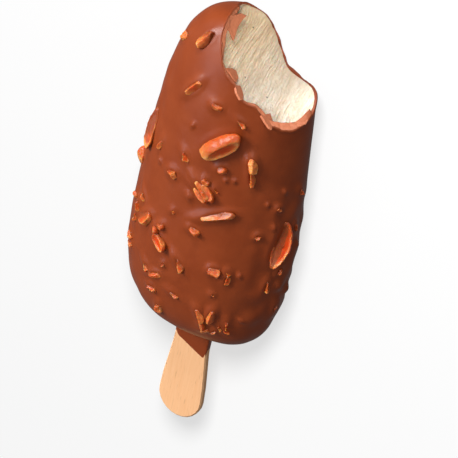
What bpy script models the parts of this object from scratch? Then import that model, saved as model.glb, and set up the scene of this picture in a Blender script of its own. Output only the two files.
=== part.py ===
"""Almond ice cream bar on a wooden stick, bitten at one corner and lying on its back.

Frame: metres, +Z up. The origin is the middle of the small flat that the bar rests on.
+Y runs along the bar from the stick to the bitten end, and +X across it.
The pieces are a stick, an ice cream core, a chocolate coat round the core, and the larger
chopped almonds, each lying in its own recess in the coat.
"""

import math

import bmesh
import bpy
from mathutils import Matrix, Vector

MM = 0.001

# Bar, outside the chocolate
BAR_LENGTH = 94.0 * MM
BAR_WIDTH = 45.5 * MM
BAR_THICKNESS = 26.0 * MM
TAPER = 0.113
PLAN_POWER = 3.4
SIDE_POWER = 3.5
REST_CUT = 0.5 * MM
MID_HEIGHT = BAR_THICKNESS / 2 - REST_CUT

# Chocolate coat
COAT = 1.6 * MM
GAP = 0.3 * MM
WAVE = 0.3 * MM

# Stick
STICK_LENGTH = 94.0 * MM
STICK_OUTSIDE = 29.8 * MM
STICK_NECK = 10.0 * MM
STICK_PADDLE = 13.2 * MM
STICK_THICKNESS = 2.0 * MM
STICK_SHIFT = 0.5 * MM
STICK_EDGE = 0.35 * MM

# Bite, as a distance from an upright axis outside the corner that it took
BITE_CENTRE = (22.0 * MM, 50.0 * MM)
BITE_TURNS = (165.0, 290.0)
BITE_HOLLOW = 0.6 * MM

# Its distance in mm at turns round that axis in degrees: three tooth marks at the front, and
# a long and a short straight side at the back
FRONT_EDGE = (
    (184, 26.8), (196, 27.1), (210, 27.3), (219, 26.4), (223, 25.6), (231, 26.5),
    (239, 25.0), (245, 25.6), (252, 27.4), (257, 27.6), (264, 28.7), (270, 28.7),
)
BACK_EDGE = (
    (184, 27.8), (190, 27.2), (196, 23.7), (202, 23.0), (212, 23.1), (220, 23.8), (232, 25.2),
    (238, 24.0), (244, 22.4), (250, 20.4), (256, 18.2), (262, 16.4), (266, 17.0), (275, 20.0),
)
EDGE_ROUNDING = 1.5

# Tongues of coat left over the bite: turn round the bite, half width in degrees, reach
FLAKES = (
    (193.0, 6.0, 2.4 * MM),
    (217.0, 4.0, 1.5 * MM),
    (228.0, 4.5, 1.3 * MM),
    (249.0, 4.0, 1.6 * MM),
    (264.0, 5.0, 1.2 * MM),
)

# Larger almond pieces: place along the bar, angle round it from the right edge, then
# length, width, height, turn from the bar's length, bend of the piece along itself
ALMONDS = {
    "almond_half": (15.5, 82, 12.0, 5.6, 3.2, 45, 0.10),
    "almond_crescent": (-9.2, 21, 13.0, 3.8, 3.4, 10, -0.16),
    "almond_sliver": (-4.5, 75, 9.6, 3.0, 2.8, 62, 0.05),
    "almond_edge": (10.0, 146, 9.2, 3.6, 3.0, 174, 0.06),
    "almond_upright": (11.0, 56, 7.4, 2.4, 2.6, 161, 0.04),
    "almond_chunk": (1.0, 86, 6.4, 4.8, 3.2, 125, 0.0),
    "almond_tip": (39.4, 119, 5.8, 2.8, 2.4, 32, 0.05),
    "almond_strip": (27.0, 111, 6.0, 2.2, 2.4, 36, 0.04),
    "almond_block": (-19.1, 111, 5.8, 3.6, 2.8, 122, 0.0),
    "almond_rim": (-2.2, 158, 5.2, 3.0, 2.6, 168, 0.05),
    "almond_wedge": (-15.6, 128, 5.4, 3.2, 2.6, 37, 0.0),
    "almond_heel": (-35.5, 69, 5.2, 4.4, 2.8, 66, 0.0),
}
ALMOND_SINK = 0.85 * MM

RINGS = 32
SEGMENTS = 44
CAVITY_RINGS = 22
CAVITY_SEGMENTS = 32


def clear_scene():
    for obj in list(bpy.data.objects):
        bpy.data.objects.remove(obj, do_unlink=True)


def material(name, colour, roughness):
    made = bpy.data.materials.new(name)
    made.use_nodes = True
    shader = made.node_tree.nodes["Principled BSDF"]
    shader.inputs["Base Color"].default_value = (*colour, 1.0)
    shader.inputs["Roughness"].default_value = roughness
    shader.inputs["Metallic"].default_value = 0.0
    made.diffuse_color = (*colour, 1.0)
    return made


def ease(share):
    """Smooth step from 0 to 1."""
    share = min(1.0, max(0.0, share))
    return share * share * (3 - 2 * share)


def fullness(station, power):
    """Share of the full width left at a station from -1 to 1 along a superellipse."""
    return max(0.0, 1 - abs(station) ** power) ** (1 / power)


def bar_point(station, angle, inset=0.0):
    """Point on the bar's smooth outline, or on one inset from it, about its own centre."""
    width = (BAR_WIDTH / 2 * (1 - TAPER * station) - inset) * fullness(station, PLAN_POWER)
    height = (BAR_THICKNESS / 2 - inset) * fullness(station, SIDE_POWER)
    along = (BAR_LENGTH / 2 - inset) * station
    return Vector((width * math.cos(angle), along, height * math.sin(angle)))


def bar_normal(station, angle):
    """Outward direction there, from two short steps along the surface."""
    step = 1e-3
    along = bar_point(station + step, angle) - bar_point(station - step, angle)
    around = bar_point(station, angle + step) - bar_point(station, angle - step)
    return along.cross(around).normalized()


def wave(point):
    """Slow unevenness of the dipped chocolate, as a height over the smooth outline."""
    x, y, z = point / MM
    slow = math.sin(0.21 * x + 0.13 * y + 1.0) + 0.7 * math.sin(0.19 * y - 0.33 * x + 0.3 * z)
    quick = math.sin(0.47 * y + 0.29 * x + 0.5 * z + 2.0)
    return WAVE * (0.5 * slow + 0.3 * quick - 0.25)


def even_stations(count):
    """Stations from end to end, at even steps along the plan outline."""
    fine = 600
    outline = []
    for i in range(fine + 1):
        a = math.pi * (i / fine - 0.5)
        station = math.copysign(abs(math.sin(a)) ** (2 / PLAN_POWER), a)
        outline.append((station, bar_point(station, 0.0)))
    lengths = [0.0]
    for (_, before), (_, after) in zip(outline, outline[1:]):
        lengths.append(lengths[-1] + (after - before).length)
    stations = []
    i = 0
    for k in range(1, count):
        target = lengths[-1] * k / count
        while lengths[i + 1] < target:
            i += 1
        share = (target - lengths[i]) / (lengths[i + 1] - lengths[i])
        stations.append(outline[i][0] + share * (outline[i + 1][0] - outline[i][0]))
    return stations


def loft(name, rings, start=None, end=None):
    """Closed solid through rings of points, shut by a point or a flat face at each end."""
    mesh = bmesh.new()
    rows = [[mesh.verts.new(p) for p in ring] for ring in rings]
    for lower, upper in zip(rows, rows[1:]):
        for i in range(len(lower)):
            j = (i + 1) % len(lower)
            mesh.faces.new((lower[i], lower[j], upper[j], upper[i]))
    for row, tip in ((rows[0], start), (rows[-1], end)):
        if tip is None:
            mesh.faces.new(row)
            continue
        peak = mesh.verts.new(tip)
        for i in range(len(row)):
            mesh.faces.new((row[i], row[(i + 1) % len(row)], peak))
    bmesh.ops.recalc_face_normals(mesh, faces=mesh.faces)
    # The sides are not flat quads, and a Boolean needs flat faces
    bmesh.ops.triangulate(mesh, faces=[f for f in mesh.faces if len(f.verts) == 4])
    data = bpy.data.meshes.new(name)
    mesh.to_mesh(data)
    mesh.free()
    obj = bpy.data.objects.new(name, data)
    bpy.context.collection.objects.link(obj)
    return obj


def bar_solid(name, inset, rings, segments, wavy=False):
    """The bar's form, or one inset from it, standing on the rest plane at Z 0."""

    def place(point, outward):
        moved = point + outward * wave(point) if wavy else point.copy()
        moved.z = max(moved.z + MID_HEIGHT, inset)
        return moved

    rows = []
    for station in even_stations(rings):
        row = []
        for k in range(segments):
            angle = 2 * math.pi * k / segments
            outward = bar_normal(station, angle) if wavy else Vector()
            row.append(place(bar_point(station, angle, inset), outward))
        rows.append(row)
    reach = BAR_LENGTH / 2 - inset
    ends = [Vector((0, side * reach, MID_HEIGHT)) for side in (-1, 1)]
    return loft(name, rows, *ends)


def edge_radius(turn, edge):
    """Distance to an edge of the bite at a turn: straight from point to point, with its
    corners rounded by the mean of three turns close together."""
    total = 0.0
    for near in (turn - EDGE_ROUNDING, turn, turn + EDGE_ROUNDING):
        near = min(max(near, edge[0][0]), edge[-1][0])
        for (before, first), (after, second) in zip(edge, edge[1:]):
            if near <= after:
                total += first + (second - first) * (near - before) / (after - before)
                break
    return total / 3 * MM


def bite_radius(turn, height):
    """Distance from the bite's axis to its surface, at a height over mid thickness."""
    front, back = edge_radius(turn, FRONT_EDGE), edge_radius(turn, BACK_EDGE)
    level = max(-1.0, min(1.0, height / (BAR_THICKNESS / 2)))
    hollow = BITE_HOLLOW * (1 - level * level)
    return back + (front - back) * ease(0.5 + 0.5 * level) + hollow


def coat_edge(turn, height):
    """How far the coat stands over the bite: a chipped line, with flakes at the front."""
    chips = 0.35 * MM * (abs((turn / 3.7 + height / (9 * MM)) % 2 - 1) - 0.2)
    if height <= 0:
        return 0.3 * MM + chips
    reach = 0.0
    for centre, half_width, length in FLAKES:
        reach = max(reach, length * max(0.0, 1 - abs(turn - centre) / half_width) ** 0.6)
    return 0.3 * MM + chips + reach


def bite_cutter(name, stand=lambda turn, height: 0.0, turns=44, levels=12):
    """The bitten-off space: the swept bite surface, closed behind the bite's axis."""
    rings = []
    reach = 0.75 * BAR_THICKNESS
    centre_x, centre_y = BITE_CENTRE
    for i in range(levels + 1):
        height = reach * (2 * i / levels - 1)
        ring = [Vector((centre_x + 14 * MM, centre_y + 14 * MM, MID_HEIGHT + height))]
        for k in range(turns + 1):
            turn = BITE_TURNS[0] + (BITE_TURNS[1] - BITE_TURNS[0]) * k / turns
            radius = bite_radius(turn, height) - stand(turn, height)
            a = math.radians(turn)
            x = centre_x + radius * math.cos(a)
            y = centre_y + radius * math.sin(a)
            ring.append(Vector((x, y, MID_HEIGHT + height)))
        rings.append(ring)
    return loft(name, rings)


def stick_half_width(along):
    """Half the stick's width at a place along the bar: parallel inside, a paddle outside."""
    neck_end = -BAR_LENGTH / 2 - 2 * MM
    share = (neck_end - along) / (STICK_OUTSIDE - 2 * MM - STICK_PADDLE / 2)
    return STICK_NECK / 2 + (STICK_PADDLE - STICK_NECK) / 2 * ease(share)


def stick_outline(grow=0.0):
    """Closed outline of the stick with two round ends."""
    tip = -BAR_LENGTH / 2 - STICK_OUTSIDE
    outer_r, inner_r = STICK_PADDLE / 2, STICK_NECK / 2
    outer_y, inner_y = tip + outer_r, tip + STICK_LENGTH - inner_r
    points = []
    for centre, radius, first in ((inner_y, inner_r, 0.0), (outer_y, outer_r, math.pi)):
        for k in range(13):
            a = first + math.pi * k / 12
            x = (radius + grow) * math.cos(a)
            points.append((x, centre + (radius + grow) * math.sin(a)))
        if first == 0.0:
            steps = [inner_y + (outer_y - inner_y) * k / 16 for k in range(1, 16)]
            points += [(-stick_half_width(y) - grow, y) for y in steps]
    points += [(stick_half_width(y) + grow, y) for y in reversed(steps)]
    return points


def stick_solid(name, grow=0.0):
    """The stick, cut from a flat sheet, or the pocket that it leaves."""
    mesh = bmesh.new()
    flat = [mesh.verts.new((x + STICK_SHIFT, y, MID_HEIGHT)) for x, y in stick_outline(grow)]
    mesh.faces.new(flat)
    data = bpy.data.meshes.new(name)
    mesh.to_mesh(data)
    mesh.free()
    obj = bpy.data.objects.new(name, data)
    bpy.context.collection.objects.link(obj)
    sheet = obj.modifiers.new("Thickness", "SOLIDIFY")
    sheet.thickness = STICK_THICKNESS + 2 * grow
    sheet.offset = 0.0
    if grow == 0.0:
        edge = obj.modifiers.new("Sanded edge", "BEVEL")
        edge.width = STICK_EDGE
        edge.segments = 1
        edge.limit_method = "ANGLE"
    return obj


def almond_solid(name, along, angle, length, width, height, turn, bend, grow=0.0):
    """A chopped almond: a bent lens with flat cuts, lying on the bar at its place."""
    length, width, height = ((size * MM / 2 + grow) for size in (length, width, height))
    # Corners of the cut section, as shares of half the width and half the height
    section = ((1, -0.2), (0.75, 0.75), (0.05, 1), (-0.7, 0.7), (-1, -0.1), (-0.6, -1), (0.65, -1))
    rings = []
    for k in range(1, 8):
        share = 2 * k / 8 - 1
        full = (1 - abs(share) ** 2.4) ** (1 / 2.4)
        shift = bend * length * 2 * (1 - share * share)
        side, up = width * full, height * (0.35 + 0.65 * full)
        rings.append([Vector((shift + x * side, share * length, z * up)) for x, z in section])
    ends = [Vector((0, side * length, 0)) for side in (-1, 1)]
    obj = loft(name, rings, *ends)

    station = along * MM / (BAR_LENGTH / 2)
    spot = bar_point(station, math.radians(angle))
    outward = bar_normal(station, math.radians(angle))
    spine = (Vector((0, 1, 0)) - outward * outward.y).normalized()
    frame = Matrix((spine.cross(outward), spine, outward)).transposed()
    lift = wave(spot) + height - grow - ALMOND_SINK
    place = spot + outward * lift + Vector((0, 0, MID_HEIGHT))
    spin = Matrix.Rotation(math.radians(-turn), 4, "Z")
    obj.matrix_world = Matrix.Translation(place) @ frame.to_4x4() @ spin
    return obj


def as_cutter(obj):
    obj.hide_render = True
    obj.display_type = "WIRE"
    return obj


def cut(obj, cutter):
    step = obj.modifiers.new("Cut " + cutter.name, "BOOLEAN")
    step.operation = "DIFFERENCE"
    step.solver = "EXACT"
    step.object = cutter


def joined_cutters(name, pieces):
    """Several cutters that don't meet, as the one mesh that a Boolean reads."""
    mesh = bmesh.new()
    for piece in pieces:
        start = len(mesh.verts)
        mesh.from_mesh(piece.data)
        mesh.verts.ensure_lookup_table()
        bmesh.ops.transform(mesh, matrix=piece.matrix_world, verts=mesh.verts[start:])
        bpy.data.objects.remove(piece, do_unlink=True)
    data = bpy.data.meshes.new(name)
    mesh.to_mesh(data)
    mesh.free()
    obj = bpy.data.objects.new(name, data)
    bpy.context.collection.objects.link(obj)
    return as_cutter(obj)


def finish(obj, look, smooth_angle=40):
    obj.data.materials.append(look)
    obj.data.shade_smooth()
    obj.data.set_sharp_from_angle(angle=math.radians(smooth_angle))


def build():
    clear_scene()
    chocolate = material("milk_chocolate", (0.22, 0.060, 0.026), 0.32)
    cream = material("ice_cream", (0.86, 0.76, 0.57), 0.6)
    wood = material("birch_wood", (0.80, 0.55, 0.32), 0.7)
    nut = material("roasted_almond", (0.62, 0.24, 0.07), 0.45)

    bite = as_cutter(bite_cutter("bite_cutter"))
    coat_bite = as_cutter(bite_cutter("coat_bite_cutter", coat_edge, turns=72))
    pocket = as_cutter(stick_solid("stick_pocket", GAP))
    cavity = as_cutter(bar_solid("coat_cavity", COAT, CAVITY_RINGS, CAVITY_SEGMENTS))
    recesses = [
        almond_solid(name + "_recess", *sizes, grow=GAP) for name, sizes in ALMONDS.items()
    ]
    recesses = joined_cutters("almond_recesses", recesses)

    stick = stick_solid("stick")
    finish(stick, wood)

    core = bar_solid("ice_cream_core", COAT + GAP, CAVITY_RINGS, CAVITY_SEGMENTS)
    cut(core, bite)
    cut(core, pocket)
    finish(core, cream)

    coat = bar_solid("chocolate_coat", 0.0, RINGS, SEGMENTS, wavy=True)
    for cutter in (cavity, coat_bite, pocket, recesses):
        cut(coat, cutter)
    finish(coat, chocolate)

    for name, sizes in ALMONDS.items():
        finish(almond_solid(name, *sizes), nut, smooth_angle=30)


build()
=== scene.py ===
"""Looks of the almond ice cream bar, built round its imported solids.

The bar lies on its back along Y, stick towards -Y and the bitten corner at +X +Y, on Z 0.
Shapes are numpy grids of points in metres, measured from the bar's own middle and lifted
to their place by the stick's mid height.
"""

import math
from typing import NamedTuple

import bmesh
import bpy
import numpy as np
from mathutils import Matrix, Vector

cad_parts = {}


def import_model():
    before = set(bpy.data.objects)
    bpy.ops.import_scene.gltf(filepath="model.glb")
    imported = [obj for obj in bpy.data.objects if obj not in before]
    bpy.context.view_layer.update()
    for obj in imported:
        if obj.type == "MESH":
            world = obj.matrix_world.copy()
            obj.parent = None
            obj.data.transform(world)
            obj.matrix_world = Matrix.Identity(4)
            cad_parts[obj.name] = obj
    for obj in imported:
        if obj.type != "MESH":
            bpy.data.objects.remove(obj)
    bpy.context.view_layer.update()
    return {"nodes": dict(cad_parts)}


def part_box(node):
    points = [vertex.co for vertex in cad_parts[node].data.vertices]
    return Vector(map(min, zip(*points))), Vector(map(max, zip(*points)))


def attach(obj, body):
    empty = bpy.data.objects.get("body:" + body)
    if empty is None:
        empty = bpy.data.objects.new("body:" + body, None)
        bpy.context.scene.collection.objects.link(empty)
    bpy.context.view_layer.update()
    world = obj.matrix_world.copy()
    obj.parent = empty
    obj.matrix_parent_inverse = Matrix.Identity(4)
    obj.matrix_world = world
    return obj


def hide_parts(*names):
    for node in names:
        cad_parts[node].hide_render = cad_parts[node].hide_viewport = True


MM = 0.001

# Bar, as the solids have it
BAR_LENGTH = 94.0 * MM
BAR_WIDTH = 45.5 * MM
BAR_THICKNESS = 26.0 * MM
TAPER = 0.113
PLAN_POWER = 3.4
SIDE_POWER = 3.5

# Bite, as a distance from an upright axis outside the corner that it took
BITE_CENTRE = (22.0 * MM, 50.0 * MM)
BITE_RADIUS = 26.0 * MM
BITE_HOLLOW = 0.6 * MM

# Its distance in mm at turns round that axis in degrees: three tooth marks at the front, and
# a long and a short straight side at the back
FRONT_EDGE = (
    (184, 26.8), (196, 27.1), (210, 27.3), (219, 26.4), (223, 25.6), (231, 26.5),
    (239, 25.0), (245, 25.6), (252, 27.4), (257, 27.6), (264, 28.7), (270, 28.7),
)
BACK_EDGE = (
    (184, 27.8), (190, 27.2), (196, 23.7), (202, 23.0), (212, 23.1), (220, 23.8), (232, 25.2),
    (238, 24.0), (244, 22.4), (250, 20.4), (256, 18.2), (262, 16.4), (266, 17.0), (275, 20.0),
)
EDGE_ROUNDING = 1.5

# Stick, as the solids have it
STICK_SHIFT = 0.5 * MM
STICK_HALF_WIDTH = 5.0 * MM
STICK_HALF_THICKNESS = 1.0 * MM

# Chocolate, as it shows at the bite
COAT_FRONT = 1.15 * MM
COAT_BACK = 0.55 * MM
CREAM_UNDER_FRONT = 0.8 * MM
CREAM_UNDER_BACK = 0.45 * MM

# Inside, away from the bite, the coat's inner face and the ice cream lie this much deeper,
# from this far behind the bite's edge, so that neither shows through a hollow of the coat
INSIDE_DEPTH = 1.7 * MM
INSIDE_FROM = 3.0 * MM


# Shapes


def space_noise(points, size, seed):
    """Smooth noise from -1 to 1: random values on a lattice of the given cell size, in metres
    (one number or one for each axis), eased from corner to corner of each cell."""
    values = np.random.default_rng(seed).uniform(-1, 1, (32, 32, 32))
    cell = points / np.asarray(size) + 1000.0
    low = np.floor(cell).astype(int)
    part = cell - low
    part = part * part * (3 - 2 * part)
    total = np.zeros(points.shape[:-1])
    for corner in np.ndindex(2, 2, 2):
        weight = np.prod(np.where(corner, part, 1 - part), axis=-1)
        x, y, z = np.moveaxis((low + corner) % 32, -1, 0)
        total += weight * values[x, y, z]
    return total


def ease(share):
    """Smooth step from 0 to 1."""
    share = np.clip(share, 0.0, 1.0)
    return share * share * (3 - 2 * share)


def fullness(station, power):
    """Share of the full width left at a station from -1 to 1 along a superellipse."""
    return np.maximum(0.0, 1 - np.abs(station) ** power) ** (1 / power)


def bar_surface(station, angle, inset=0.0):
    """Smooth outline of the bar, or one inset from it: an ellipse across, whose half width
    and half height follow superellipses from the stick end (-1) to the bitten end (1)."""
    width = (BAR_WIDTH / 2 * (1 - TAPER * station) - inset) * fullness(station, PLAN_POWER)
    height = (BAR_THICKNESS / 2 - inset) * fullness(station, SIDE_POWER)
    along = (BAR_LENGTH / 2 - inset) * station
    parts = (width * np.cos(angle), along + 0 * angle, height * np.sin(angle))
    return np.stack(np.broadcast_arrays(*parts), axis=-1)


def bar_outward(station, angle):
    """Unit outward direction of that outline: the cross product of short steps along it
    and round it."""
    step = 1e-4
    ahead, behind = np.minimum(station + step, 1.0), np.maximum(station - step, -1.0)
    along = bar_surface(ahead, angle) - bar_surface(behind, angle)
    around = bar_surface(station, angle + step) - bar_surface(station, angle - step)
    outward = np.cross(along, around)
    return outward / np.maximum(np.linalg.norm(outward, axis=-1, keepdims=True), 1e-30)


def length_table():
    """Stations along the bar's side, and the distance from the stick end to each."""
    turn = np.linspace(-math.pi / 2, math.pi / 2, 4001)
    stations = np.sign(turn) * np.abs(np.sin(turn)) ** (2 / PLAN_POWER)
    steps = np.diff(bar_surface(stations, 0.0), axis=0)
    return stations, np.concatenate([[0.0], np.cumsum(np.linalg.norm(steps, axis=-1))])


STATIONS, DISTANCES = length_table()


def edge_radius(turn, edge):
    """Distance to an edge of the bite at a turn: straight from point to point, with its
    corners rounded by the mean of three turns close together."""
    turns, radii = np.array(edge).T
    near = [np.interp(turn + shift, turns, radii) for shift in (-EDGE_ROUNDING, 0, EDGE_ROUNDING)]
    return sum(near) / 3 * MM


def bite_radius(turn, height):
    """Distance from the bite's axis to its surface: the front and the back edge, blended
    over the thickness and hollow between."""
    front, back = edge_radius(turn, FRONT_EDGE), edge_radius(turn, BACK_EDGE)
    level = np.clip(height / (BAR_THICKNESS / 2), -1.0, 1.0)
    hollow = BITE_HOLLOW * (1 - level * level)
    return back + (front - back) * ease(0.5 + 0.5 * level) + hollow


def turn_and_reach(points):
    """Turn of each point round the bite's axis, in degrees, and its distance from it."""
    x, y = points[..., 0] - BITE_CENTRE[0], points[..., 1] - BITE_CENTRE[1]
    return np.degrees(np.arctan2(y, x)) % 360, np.hypot(x, y)


def rim_distance(angle, inset, stand):
    """How far each line along the bar runs from the stick end before it meets the bite,
    which the coat stands over by stand(turn, height): the first crossing of many samples."""
    stations = np.interp(np.linspace(0.2, 1.0, 2400) * DISTANCES[-1], DISTANCES, STATIONS)
    points = bar_surface(stations[:, None], angle[None, :], inset)
    turn, reach = turn_and_reach(points)
    over = bite_radius(turn, points[..., 2]) - stand(turn, points[..., 2]) - reach
    after = np.argmax(over > 0, axis=0)
    column = np.arange(len(angle))
    low, high = over[after - 1, column], over[after, column]
    share = low / (low - high)
    places = np.interp(stations, STATIONS, DISTANCES)
    return places[after - 1] + share * (places[after] - places[after - 1])


def mesh_from(name, patches, attributes=None):
    """Closed mesh of grid patches of points: neighbours become faces, and points that
    patches share, or that close a row to a pole, are merged."""
    points, faces, start = [], [], 0
    for patch in patches:
        rows, columns = patch.shape[:2]
        number = np.arange(rows * columns).reshape(rows, columns) + start
        corners = (number[:-1, :-1], number[:-1, 1:], number[1:, 1:], number[1:, :-1])
        faces.append(np.stack(corners, axis=-1).reshape(-1, 4))
        points.append(patch.reshape(-1, 3))
        start += rows * columns
    mesh = bpy.data.meshes.new(name)
    mesh.from_pydata(np.concatenate(points), [], np.concatenate(faces))
    for key, values in (attributes or {}).items():
        layer = mesh.attributes.new(key, "FLOAT", "POINT")
        layer.data.foreach_set("value", np.concatenate([v.reshape(-1) for v in values]))
    work = bmesh.new()
    work.from_mesh(mesh)
    bmesh.ops.remove_doubles(work, verts=work.verts, dist=0.002 * MM)
    bmesh.ops.recalc_face_normals(work, faces=work.faces)
    work.to_mesh(mesh)
    work.free()
    mesh.shade_smooth()
    piece = bpy.data.objects.new(name, mesh)
    bpy.context.collection.objects.link(piece)
    return piece


# Almond pieces


class Nut(NamedTuple):
    """A piece of almond. Its place is along the bar in mm and round it in degrees from the
    right edge; its sizes are in mm and its turn, in degrees, is from the bar's length. A cut
    is (direction across, along and out, distance as a share of the half size, depth of its
    hollow in mm, paleness). The film is how high chocolate climbs it over the coat, as a
    share of its half height, and how much more so across and along it; drape is how much
    more on the side it ran down from. Rim is how much painted highlight its edges get away
    from that side. Tip is the paleness of its near end, partly a pale cut end and partly a
    painted highlight, and mound how much the coat rises round it."""

    along: float
    angle: float
    length: float
    width: float
    height: float
    turn: float
    cuts: tuple = ()
    rim: float = 0.5
    film: tuple = (0.15, 0.0, 0.0)
    bend: float = 0.0
    sink: float = 0.85
    lean: float = 0.2
    sharp: float = 14.0
    drape: float = 0.55
    tip: float = 0.0
    mound: float = 1.0


# The larger pieces, each of one or more slices
BIG_NUTS = {
    "almond_half": [Nut(
        15.6, 81.2, 13.6, 5.9, 3.9, 46, bend=0.12, rim=0.7, film=(-1.0, 0.0, 0.0), tip=0.1,
        mound=0.15, cuts=(
            ((0.82, 0.15, 0.55), 0.60, 0.6, 0.0), ((1.0, -0.05, 0.0), 0.80, 0.0, 0.2),
            ((0.05, -0.95, 0.3), 0.90, 0.0, 0.8)), sharp=9)],
    "almond_crescent": [Nut(
        -9.0, 24.2, 13.2, 4.4, 3.6, 9, bend=0.16, rim=1.0, film=(0.8, -2.4, 0.0), sharp=12,
        mound=0.4, cuts=(
            ((-0.52, 0.0, 0.85), 0.26, 0.6, 0.0),))],
    "almond_sliver": [Nut(
        -4.5, 74.2, 10.6, 2.6, 2.8, 62, bend=0.05, rim=0.6, film=(0.55, -0.3, 0.85), tip=0.4, cuts=(
            ((-0.55, 0.0, 0.83), 0.45, 0.1, 0.15), ((0.8, 0.0, 0.5), 0.55, 0.0, 0.0),
            ((0.0, -1.0, 0.3), 0.93, 0.0, 0.6), ((0.1, 0.9, 0.4), 0.88, 0.0, 0.0)))],
    "almond_edge": [Nut(
        8.2, 146.5, 12.0, 3.4, 2.6, 174, bend=0.06, rim=0.9, film=(1.3, 1.3, 0.0), sink=0.9,
        mound=0.2, cuts=(
            ((-0.72, 0.0, 0.69), 0.48, 0.25, 0.0), ((-1.0, 0.0, -0.1), 0.78, 0.0, 0.5),
            ((0.1, 0.95, 0.3), 0.90, 0.0, 0.6)))],
    "almond_upright": [
        Nut(12.5, 56.5, 4.6, 2.8, 3.2, 161, rim=0.6, film=(0.0, -0.2, 0.3), cuts=(
            ((0.0, -0.35, 0.93), 0.62, 0.0, 0.7), ((-0.8, 0.0, 0.6), 0.6, 0.0, 0.3),
            ((0.8, 0.0, 0.5), 0.7, 0.0, 0.0), ((0.0, 1.0, 0.1), 0.8, 0.0, 0.5))),
        Nut(9.2, 56.0, 5.2, 2.0, 2.7, 163, rim=0.6, film=(0.2, -0.3, 0.0), cuts=(
            ((-0.7, 0.0, 0.7), 0.5, 0.0, 0.2), ((0.75, 0.0, 0.6), 0.4, 0.2, 0.0),
            ((0.0, -1.0, 0.3), 0.9, 0.0, 0.5)))],
    "almond_chunk": [
        Nut(1.3, 87.5, 6.6, 2.4, 3.3, 126, rim=0.4, film=(0.5, 0.0, 0.4), tip=0.3, cuts=(
            ((0.6, 0.0, 0.8), 0.55, 0.1, 0.0), ((-0.7, 0.0, 0.7), 0.6, 0.1, 0.0),
            ((0.0, -0.9, 0.4), 0.85, 0.0, 0.5))),
        Nut(-0.2, 89.0, 5.6, 1.8, 2.6, 122, rim=0.6, film=(0.3, 0.0, 0.4), tip=0.3, cuts=(
            ((-0.5, 0.0, 0.85), 0.5, 0.1, 0.1), ((0.0, -0.9, 0.4), 0.85, 0.0, 0.5))),
        Nut(1.2, 83.6, 5.4, 2.2, 2.9, 130, rim=0.4, film=(0.3, -0.3, 0.3), tip=0.2, cuts=(
            ((-0.3, 0.0, 0.9), 0.6, 0.2, 0.0), ((0.9, 0.0, 0.3), 0.7, 0.0, 0.0))),
        Nut(3.9, 86.2, 2.1, 1.9, 2.4, 100, rim=0.3, film=(0.6, 0.0, 0.0), cuts=(
            ((0.3, 0.2, 0.9), 0.6, 0.0, 0.2), ((-0.8, 0.3, 0.5), 0.7, 0.0, 0.0)))],
    "almond_tip": [Nut(
        39.4, 119, 6.6, 3.2, 2.7, 32, rim=0.5, film=(0.75, 0.85, 0.45), lean=0.1, tip=0.4,
        mound=0.4, cuts=(
            ((-0.55, 0.0, 0.83), 0.5, 0.0, 0.1), ((0.75, 0.1, 0.65), 0.45, 0.0, 0.0),
            ((0.1, -0.95, 0.3), 0.84, 0.0, 0.6), ((0.7, 0.75, 0.0), 0.65, 0.0, 0.4)))],
    "almond_strip": [Nut(
        27.0, 111.5, 6.6, 2.5, 2.8, 36, rim=0.5, film=(0.35, -0.5, 0.0), tip=0.3, cuts=(
            ((0.80, 0.0, 0.60), 0.30, 0.05, 0.0), ((-0.62, 0.0, 0.78), 0.42, 0.0, 0.15),
            ((0.0, 0.95, 0.3), 0.85, 0.0, 0.4), ((0.0, -0.95, 0.3), 0.9, 0.0, 0.4)))],
    "almond_block": [
        Nut(-19.2, 111, 6.0, 3.3, 3.1, 122, rim=0.6, film=(0.4, 0.0, -0.3), mound=0.6, cuts=(
            ((0.15, 0.1, 0.98), 0.50, 0.55, 0.0), ((1.0, 0.0, 0.2), 0.85, 0.0, 0.2),
            ((-1.0, 0.0, 0.2), 0.85, 0.0, 0.2), ((0.0, -1.0, 0.2), 0.85, 0.0, 0.4))),
        Nut(-16.5, 115.5, 2.2, 1.7, 2.8, 120, rim=0.4, film=(0.6, 0.0, 0.0), cuts=(
            ((0.3, -0.3, 0.9), 0.6, 0.0, 0.2),)),
        Nut(-14.7, 112, 2.4, 1.7, 2.6, 60, rim=0.3, film=(0.9, 0.0, 0.0), cuts=(
            ((0.2, -0.3, 0.9), 0.6, 0.0, 0.1),))],
    "almond_rim": [Nut(
        -2.2, 159, 5.4, 3.1, 2.8, 168, rim=0.5, film=(0.25, 0.0, 0.35), mound=0.4, cuts=(
            ((-0.3, 0.75, 0.5), 0.42, 0.0, 0.7), ((-0.8, 0.0, 0.6), 0.7, 0.0, 0.0)))],
    "almond_wedge": [Nut(
        -15.6, 127.5, 5.6, 3.6, 2.8, 37, rim=0.6, film=(0.5, -0.9, 0.0), cuts=(
            ((-0.25, 0.2, 0.95), 0.5, 0.1, 0.0), ((0.9, 0.3, 0.2), 0.72, 0.0, 0.4),
            ((0.5, -0.8, 0.2), 0.75, 0.0, 0.3)))],
    "almond_heel": [
        Nut(-35.9, 73.2, 4.6, 2.2, 2.8, 151, rim=0.5, film=(0.45, 0.5, 0.0), cuts=(
            ((0.6, 0.0, 0.8), 0.5, 0.0, 0.0), ((-0.6, 0.0, 0.8), 0.5, 0.0, 0.3))),
        Nut(-34.9, 65, 4.6, 2.3, 2.9, 188, rim=0.5, film=(0.4, -0.6, 0.0), cuts=(
            ((0.6, 0.0, 0.8), 0.5, 0.0, 0.3), ((-0.6, 0.0, 0.8), 0.5, 0.0, 0.1))),
        Nut(-39.0, 69.5, 2.8, 1.9, 2.3, 170, rim=0.5, cuts=(((0.5, 0.2, 0.8), 0.6, 0.0, 0.3),)),
        Nut(-40.3, 66, 2.7, 1.6, 2.1, 60, rim=0.5, cuts=(((0.5, 0.2, 0.8), 0.6, 0.0, 0.2),))],
}

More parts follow.
